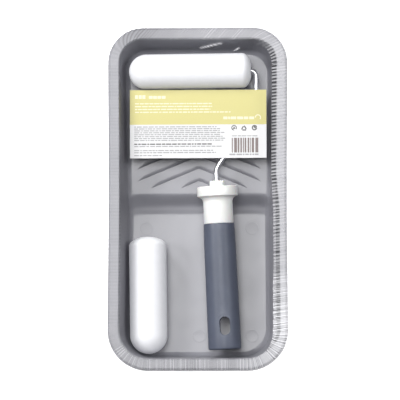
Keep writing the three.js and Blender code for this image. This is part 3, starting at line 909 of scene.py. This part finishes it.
def make_foam(name, core, towards, radius, body, node):
    """A sleeve's foam cover, built round its core tube from the open end towards the closed one."""
    axis = Axis(core, towards)
    axis.start -= axis.along * CORE_RECESS  # the foam's open end stands proud of the tube
    length = CORE_RECESS + axis.length + 0.3 + FOAM_THICKNESS
    cover = lathe(name, foam_profile(radius, length), axis, sides=128)
    modified(cover, "SUBSURF", levels=1)
    soften(cover, random.Random(len(name)), 0.06)
    place(cover, body, "foam", node)


def make_wire():
    """The wire, with its facets rounded out."""
    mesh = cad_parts["wire_frame"].data.copy()
    work = bmesh.new()
    work.from_mesh(mesh)
    bmesh.ops.remove_doubles(work, verts=work.verts, dist=1e-3 * MM)
    limit = math.radians(40)
    bmesh.ops.join_triangles(work, faces=work.faces, angle_face_threshold=limit, angle_shape_threshold=limit)
    work.to_mesh(mesh)
    work.free()
    wire = finished_object("wire_rounded", mesh, 60)
    modified(wire, "SUBSURF", levels=1)
    wire.data.shade_smooth()
    return place(wire, "roller_frame", "steel_wire", "wire_frame")


def finish_cad(node, slot):
    """Keeps a CAD node, with smooth shading and its own material."""
    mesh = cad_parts[node].data
    mesh.shade_smooth()
    mesh.set_sharp_from_angle(angle=math.radians(40))
    mesh.materials.clear()
    mesh.materials.append(MATERIALS[slot])


# ---- Handle ----------------------------------------------------------------------------------------------

GRIP_TOP = 36.0
GRIP_END = 141.6
STEM_END, STEM_RADIUS = 126.0, 8.2
BOSS_RADIUS, BOSS_LENGTH = 6.2, 4.8
SLOT_ALONG, SLOT_SIDE, SLOT_LENGTH, SLOT_WIDTH = 121.9, 1.2, 15.4, 8.8
LINING, LINING_REACH = 1.3, 9.6  # the slot's lining: its thickness, and its height from the handle's axis
CLEARANCE = 0.15


def handle_axis():
    """The handle's axis, measured from the top of its boss."""
    grip = Axis("grip_sleeve", (0, -1, 0))
    grip.start -= grip.along * GRIP_TOP
    return grip


def slot_prism(axis, name, margin, reach):
    """The hanging slot's shape, grown by margin, through the grip from side to side."""
    half = SLOT_WIDTH / 2 + margin
    straight = (SLOT_LENGTH - SLOT_WIDTH) / 2
    outline = arc(0, straight, half, 0, 180, 20) + arc(0, -straight, half, 180, 360, 20)
    points = []
    for height in (-reach, reach):
        points += [axis.point(SLOT_ALONG + y, SLOT_SIDE + x, height) for x, y in outline]
    n = len(outline)
    faces = grid_faces(2, n, closed_columns=True)
    faces += [tuple(range(n)), tuple(range(n, 2 * n))]
    return mesh_object(name, points, faces)


def cut_away(piece, *cutters):
    """Cuts each cutter's shape out of a piece and removes the cutter."""
    for cutter in cutters:
        modified(piece, "BOOLEAN", object=cutter, operation="DIFFERENCE", solver="EXACT")
        bpy.data.objects.remove(cutter)


def round_edges(piece, width, angle):
    """Rounds a piece's sharp edges finely, with smooth shading between them."""
    modified(piece, "BEVEL", width=width * MM, segments=2, angle_limit=math.radians(angle))
    piece.data.shade_smooth()
    piece.data.set_sharp_from_angle(angle=math.radians(angle))


def boss_notch(axis, turn):
    """A bar across one side of the boss's end, to cut a notch."""
    out = (math.cos(turn), math.sin(turn))
    across = (-out[1], out[0])
    points = []
    for along in (-1, 1.6):
        for r, w in ((3.6, -1.3), (8, -1.3), (8, 1.3), (3.6, 1.3)):
            points.append(axis.point(along, r * out[0] + w * across[0], r * out[1] + w * across[1]))
    faces = grid_faces(2, 4, closed_columns=True) + [(0, 1, 2, 3), (4, 5, 6, 7)]
    return mesh_object("boss_notch", points, faces)


def make_handle_core(axis):
    """The white moulding: boss, finger flange and neck, with the slot's lining inside the grip."""
    boss = arc(BOSS_RADIUS - 0.5, 0.5, 0.5, -90, 0, 3)
    flange = arc(15.8, BOSS_LENGTH + 1.1, 1.1, -90, 0, 5) + arc(16.2, 12.5, 0.7, 0, 90, 4)
    waist = arc(16.3, 18.0, 3.95, -100, -180, 7, 4.6)
    neck = [(12.3, GRIP_TOP - 0.3), (11.7, GRIP_TOP - 0.2), (11.7, GRIP_TOP + 1.8), (0, GRIP_TOP + 1.8)]
    profile = [(0, 0), *boss, (BOSS_RADIUS, BOSS_LENGTH), *flange, *waist, *neck]
    core = lathe("handle_core_moulded", profile, axis, sides=96)
    cut_away(core, *[boss_notch(axis, math.pi / 4 + k * math.pi / 2) for k in range(4)])
    round_edges(core, 0.25, 40)
    place(core, "roller_frame", "white_plastic", "handle_core")

    start = GRIP_TOP + 1.7
    section = [(0, start), (STEM_RADIUS, start), (STEM_RADIUS, STEM_END), (0, STEM_END)]
    stem = lathe("handle_stem", section, axis, sides=48)
    lining = slot_prism(axis, "slot_lining", LINING, LINING_REACH)
    modified(stem, "BOOLEAN", object=lining, operation="UNION", solver="EXACT")
    bpy.data.objects.remove(lining)
    cut_away(stem, slot_prism(axis, "slot_cutter", 0, 30))
    return place(stem, "roller_frame", "grip")


def make_grip(axis):
    """The soft grip: a slowly widening sleeve with a rounded end, over the stem and the slot's lining."""
    top, end = GRIP_TOP, GRIP_END
    profile = [(0, top + 2.1), (11.9, top + 2.1), (11.9, top), (12.3, top)]
    profile += arc(12.3, top + 0.6, 0.6, -90, 0, 4)
    profile += [(13.0, top + 6), (13.2, top + 14), (13.4, top + 40), (13.6, top + 65), (13.8, end - 10)]
    profile += arc(12.2, end - 1.6, 1.6, 0, 90, 6, 1.6)
    profile += [(0, end)]
    grip = lathe("grip_moulded", profile, axis, sides=96)
    bore = STEM_RADIUS + 2 * CLEARANCE
    inside = [(0, top), (bore, top), (bore, STEM_END + 1), (0, STEM_END + 1)]
    stem_room = lathe("stem_room", inside, axis, sides=48)
    lining_room = slot_prism(axis, "lining_room", LINING + CLEARANCE, LINING_REACH + CLEARANCE)
    cut_away(grip, stem_room, lining_room, slot_prism(axis, "slot_cutter", 0, 30))
    round_edges(grip, 0.35, 50)
    return place(grip, "roller_frame", "grip", "grip_sleeve")


# ---- Card ------------------------------------------------------------------------------------------------


class Card:
    """The printed card: a thin sheet that bows a little, measured from its top left corner, in mm."""

    WIDTH, HEIGHT, THICK = 114.6, 57.3, 0.4
    BOW = 0.5

    def __init__(self):
        low, high = (np.array(corner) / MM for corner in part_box("label_card"))
        self.low, self.high = low, high
        self.slope = (high[2] - low[2] - self.THICK) / (high[1] - low[1])

    def point(self, u, v, lift=0.0):
        """The place u across and v down the card's face."""
        x = self.low[0] + u
        y = self.high[1] - v * (self.high[1] - self.low[1]) / self.HEIGHT
        bow = self.BOW * math.sin(math.pi * u / self.WIDTH) * math.sin(math.pi * v / self.HEIGHT)
        corner = 0.5 * (u / self.WIDTH) ** 2 * (v / self.HEIGHT) ** 2
        z = self.high[2] - self.slope * (self.high[1] - y) + bow + corner
        return (x, y, z + lift)

    def patch(self, u0, v0, u1, v1, lift=0.05, cell=8):
        """A rectangle that follows the card's bow, lifted off it, from cells of about that size."""
        columns = max(2, int((u1 - u0) / cell) + 2)
        rows = max(2, int((v1 - v0) / cell) + 2)
        points = [
            self.point(u0 + (u1 - u0) * c / (columns - 1), v0 + (v1 - v0) * r / (rows - 1), lift)
            for r in range(rows)
            for c in range(columns)
        ]
        return points, grid_faces(rows, columns)

    def shape(self, outline, lift=0.1):
        """A flat shape from (u, v) points."""
        return [self.point(u, v, lift) for u, v in outline], [tuple(range(len(outline)))]


def text_lines(card, rng, left, right, top, count, pitch, height, ragged=4.0):
    """Rows of short dashes that stand for small print."""
    shapes = []
    for row in range(count):
        v = top + row * pitch
        end = right - (rng.uniform(0, ragged))
        u = left
        while u < end:
            word = min(rng.uniform(1.2, 5.2), end - u)
            if word > 0.5:
                shapes.append(card.patch(u, v, u + word, v + height, 0.1))
            u += word + rng.uniform(0.55, 0.85)
    return shapes


def bar_code(card, rng, left, right, top, bottom):
    """Upright bars of chance widths, which no reader could read."""
    shapes = []
    u = left
    while u < right - 0.4:
        width = rng.choice((0.6, 0.9, 1.4, 1.9, 2.4))
        shapes.append(card.patch(u, top, u + width, bottom, 0.1))
        u += width + rng.choice((0.6, 0.75, 1.1))
    return shapes


def ring_shape(card, u, v, radius, width, start=0, end=360):
    """A flat ring, or part of one, round a place on the card."""
    steps = 24
    outer = arc(u, v, radius, start, end, steps)
    inner = arc(u, v, radius - width, end, start, steps)
    quads = []
    for k in range(steps):
        quads.append(card.shape([outer[k], outer[k + 1], inner[steps - 1 - k], inner[steps - k]]))
    return quads


def icons(card, left, v):
    """Three small round and three-sided marks in a row."""
    shapes = ring_shape(card, left, v, 2.3, 0.75, 90, 400)
    shapes.append(card.shape([(left - 1.1, v + 0.9), (left, v - 1.3), (left + 1.1, v + 0.9)]))
    middle = left + 8.3
    corner = [(middle - 2.3, v + 1.9), (middle, v - 2.1), (middle + 2.3, v + 1.9)]
    for a, b in zip(corner, corner[1:] + corner[:1]):
        run = np.array(b) - np.array(a)
        across = np.array([-run[1], run[0]]) / np.linalg.norm(run) * 0.5
        start, stop = np.array(a) + run * 0.1, np.array(a) + run * 0.8
        shapes.append(card.shape([start - across, stop - across, stop + across, start + across]))
    right = left + 17
    shapes += ring_shape(card, right, v, 2.3, 1.1, 10, 330)
    shapes += ring_shape(card, right + 0.8, v - 0.8, 1.3, 0.9)
    return shapes


def make_card():
    """The card with a coloured panel, and print that stands for text without being any."""
    card = Card()
    rng = random.Random(11)
    top, top_faces = card.patch(0, 0, card.WIDTH, card.HEIGHT, 0.0, 3)
    sheet = mesh_object("card_sheet", top, top_faces)
    modified(sheet, "SOLIDIFY", thickness=card.THICK * MM, offset=-1)
    sheet.data.set_sharp_from_angle(angle=math.radians(35))
    place(sheet, "card", "card", "label_card")

    def printed(name, shapes, ink):
        return place(joined(name, shapes), "card", "card", material=INKS[ink])

    printed("card_panel", [card.patch(0.02, 0.02, card.WIDTH - 0.02, 29.1, 0.05, 3)], "yellow")

    white = [card.patch(4.3 + k * 3.1, 4.3, 4.3 + k * 3.1 + 2.5, 7.3, 0.1) for k in range(3)]
    white += [card.patch(16 + k * 3.6, 4.9, 16 + k * 3.6 + 3.1, 7.3, 0.1) for k in range(4)]
    white += text_lines(card, rng, 4.3, 70, 11.0, 3, 2.4, 0.9, 3)
    white += text_lines(card, rng, 4.3, 86, 18.2, 1, 2.4, 0.9, 3)
    white += text_lines(card, rng, 78.5, 105, 22.6, 1, 1, 2.2, 1)
    white += ring_shape(card, 107.5, 23.4, 2.6, 0.8, 180, 400)
    printed("card_print_white", white, "white")

    grey = text_lines(card, rng, 3.6, 83, 30.6, 8, 1.62, 0.85, 9)
    grey += text_lines(card, rng, 3.6, 79, 47.0, 1, 2.1, 0.85, 5)
    grey += text_lines(card, rng, 3.6, 74, 50.4, 2, 1.8, 0.85, 6)
    grey += text_lines(card, rng, 3.6, 30, 54.6, 1, 1.8, 0.85, 6)
    grey += text_lines(card, rng, 85.5, 110, 38.4, 1, 1, 0.8, 3)
    grey += text_lines(card, rng, 83.5, 108, 53.7, 1, 1, 1.3, 0.5)
    printed("card_print_grey", grey, "grey")

    black = text_lines(card, rng, 3.6, 70, 45.0, 1, 1, 1.0, 2)
    black += icons(card, 87.5, 32.0)
    printed("card_print_black", black, "black")
    printed("card_bar_code", bar_code(card, rng, 85.5, 109, 40.4, 52.8), "brown")


# ---- Assembly --------------------------------------------------------------------------------------------

make_tray()
make_feet()
make_legs()
make_film()
for foam_name, sleeve, towards, radius in (
    ("roller_foam_soft", "roller", (-1, 0, 0), MOUNTED_RADIUS),
    ("spare_foam_soft", "spare", (0, -1, 0), SPARE_RADIUS),
):
    make_foam(foam_name, f"{sleeve}_core_tube", towards, radius, f"{sleeve}_sleeve", f"{sleeve}_foam_cover")
make_wire()
handle = handle_axis()
make_handle_core(handle)
make_grip(handle)
make_card()
finish_cad("retaining_clip", "steel_wire")
for sleeve in ("roller", "spare"):
    for inner_part in ("core_tube", "inboard_bush", "outboard_cap"):
        finish_cad(f"{sleeve}_{inner_part}", "core_plastic")
